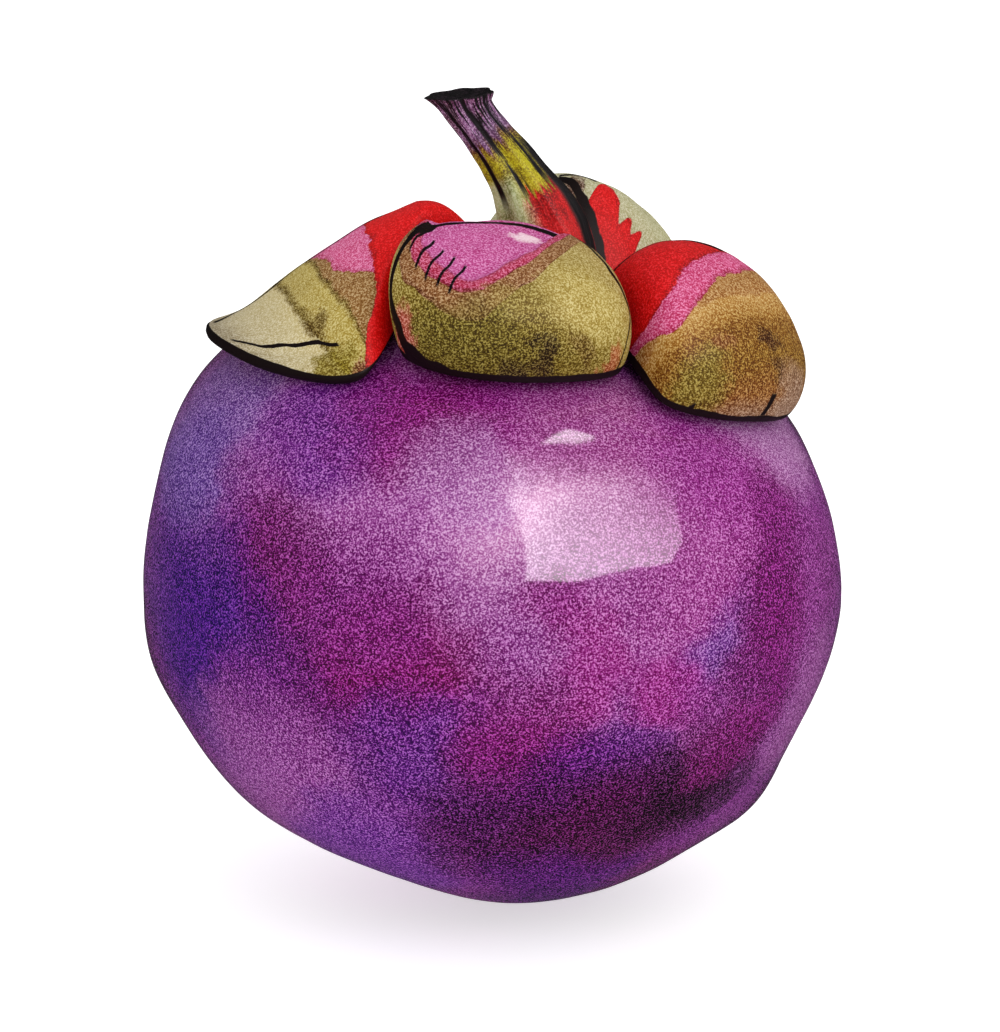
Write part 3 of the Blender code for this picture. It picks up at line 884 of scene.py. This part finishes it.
studio = dict(
    floorSize=6.0, floorShade=0.8, floorGlow=0.55, skyFill=1.0, skyGloss=0.06,
    keyTowards=(0.55, -0.62, 0.56), keyDistance=1.2, keyWide=1.2, keyHigh=1.2, keyPower=0.8,
    windowCorners=((0.16, -0.95, 0.2), (0.87, -0.44, 0.26), (0.62, 0.2, 0.76), (0.1, -0.2, 0.97)),
    windowGlow=7.4, windowFadeFrom=(0.35, -0.8, 0.4), windowFadeTo=(0.42, 0.0, 0.86),
    chipCorners=((0.272, -0.051, 0.961), (0.408, -0.04, 0.912), (0.425, 0.091, 0.9),
                 (0.341, 0.113, 0.933)),
    chipGlow=9.0, chipFadeFrom=(0, 0, 0), chipFadeTo=(0, 0, 9),
    lens=180, sensor=36, cameraDistance=0.439, cameraAside=0.43, cameraRaise=3.3,
)


def makeFloor():
    mesh = bmesh.new()
    bmesh.ops.create_grid(mesh, x_segments=1, y_segments=1, size=studio["floorSize"] / 2)
    data = bpy.data.meshes.new("studioFloor")
    mesh.to_mesh(data)
    mesh.free()
    floor = bpy.data.objects.new("studioFloor", data)
    bpy.context.scene.collection.objects.link(floor)
    shade = studio["floorShade"]
    material = startMaterial(
        "palePaperFloor", Base_Color=(shade, shade, shade, 1), Roughness=0.9,
        Specular_IOR_Level=0.0, Emission_Color=(1, 1, 1, 1),
        Emission_Strength=studio["floorGlow"])[0]
    data.materials.append(material)
    floor.visible_glossy = False


def makeKeyLamp():
    wide, high = studio["keyWide"], studio["keyHigh"]
    lamp = bpy.data.lights.new("keyLamp", "AREA")
    lamp.shape = "RECTANGLE"
    lamp.size = wide
    lamp.size_y = high
    lamp.energy = studio["keyPower"] * math.pi * wide * high
    holder = bpy.data.objects.new("keyLamp", lamp)
    bpy.context.scene.collection.objects.link(holder)
    towards = Vector(studio["keyTowards"]).normalized()
    holder.location = centre + towards * studio["keyDistance"]
    holder.rotation_mode = "QUATERNION"
    holder.rotation_quaternion = towards.to_track_quat("Z", "Y")
    holder.visible_glossy = False


def makeCard(name):  # a glowing card that only shows in gloss, as a window would
    mesh = bmesh.new()
    corners = [centre + Vector(corner).normalized() for corner in studio[name + "Corners"]]
    mesh.faces.new([mesh.verts.new(corner) for corner in corners])
    data = bpy.data.meshes.new(name + "Card")
    mesh.to_mesh(data)
    mesh.free()
    card = bpy.data.objects.new(name + "Card", data)
    bpy.context.scene.collection.objects.link(card)
    material, shader, start = startMaterial(
        name + "Glow", Base_Color=(0, 0, 0, 1), Roughness=1.0, Specular_IOR_Level=0.0,
        Emission_Strength=studio[name + "Glow"])
    low, high = (centre + Vector(studio[name + end]) for end in ("FadeFrom", "FadeTo"))
    rise = (high - low) / (high - low).length_squared
    place = start.add("ShaderNodeTexCoord", out="Object")
    share = place.vector("DOT_PRODUCT", place, tuple(rise), out="Value") - low.dot(rise)
    glow = 1 - share.fade(0, 1)
    material.node_tree.links.new(glow.socket, shader.inputs["Emission Color"])
    data.materials.append(material)
    card.visible_camera = card.visible_diffuse = card.visible_shadow = False


def makeSky():
    world = bpy.data.worlds.new("studioSky")
    bpy.context.scene.world = world
    world.use_nodes = True
    tree = world.node_tree
    background = tree.nodes["Background"]
    background.inputs["Color"].default_value = (1, 1, 1, 1)
    sky = Wire(tree)
    glossy = sky.add("ShaderNodeLightPath", out="Is Glossy Ray")
    strength = studio["skyFill"] + glossy * (studio["skyGloss"] - studio["skyFill"])
    tree.links.new(strength.socket, background.inputs["Strength"])


def makeCamera():
    lens = bpy.data.cameras.new("studioCamera")
    lens.lens = studio["lens"]
    lens.sensor_width = studio["sensor"]
    camera = bpy.data.objects.new("studioCamera", lens)
    bpy.context.scene.collection.objects.link(camera)
    aside = Vector((studio["cameraAside"] * mm, 0, 0))
    target = centre + aside + lookUp * studio["cameraRaise"] * mm
    camera.location = target + lookBack * studio["cameraDistance"]
    camera.rotation_mode = "QUATERNION"
    camera.rotation_quaternion = (-lookBack).to_track_quat("-Z", "Y")
    bpy.context.scene.camera = camera


makeFloor()
makeKeyLamp()
makeCard("window")
makeCard("chip")
makeSky()
makeCamera()
bpy.context.scene.view_settings.view_transform = "Standard"
print("mangosteen: floor, lamp, cards, sky and camera set")
